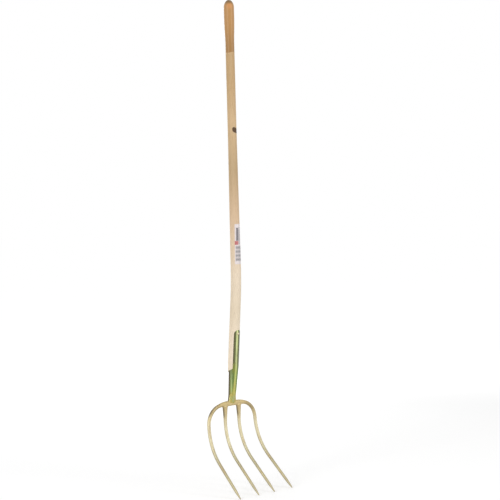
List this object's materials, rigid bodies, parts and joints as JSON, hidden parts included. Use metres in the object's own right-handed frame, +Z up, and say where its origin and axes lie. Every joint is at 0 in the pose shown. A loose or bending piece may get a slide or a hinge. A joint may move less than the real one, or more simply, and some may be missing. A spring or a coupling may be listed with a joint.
{
  "type": "manure fork",
  "caption": "Long-handled manure fork: curved steel tines on a round crossbar, a strapped tapered socket and a bent ash handle with a domed grip end, for lifting dung and straw.",
  "frame": {"origin": "on the floor under the middle of the fork's box, with the tips of the four tines at z = 0", "axes": "+Z up along the upper handle, +X across the tines, -Y the front, towards which the tines curve"},
  "size_m": [0.2478, 0.1698, 1.6502],
  "materials": {
    "ash_wood": "satin",
    "gold_lacquer": "satin",
    "green_paint": "satin",
    "steel": "satin",
    "paper_label": "matte"
  },
  "bodies": {
    "root": {"handle": "ash_wood", "front_strap": "green_paint", "socket_shell": "green_paint", "fork_bow": "gold_lacquer", "inner_tine_left": "gold_lacquer", "inner_tine_right": "gold_lacquer", "strap_rivet": "steel", "rivet_burr": "steel", "socket_nail": "steel", "handle_label": "paper_label"}
  },
  "joints": []
}
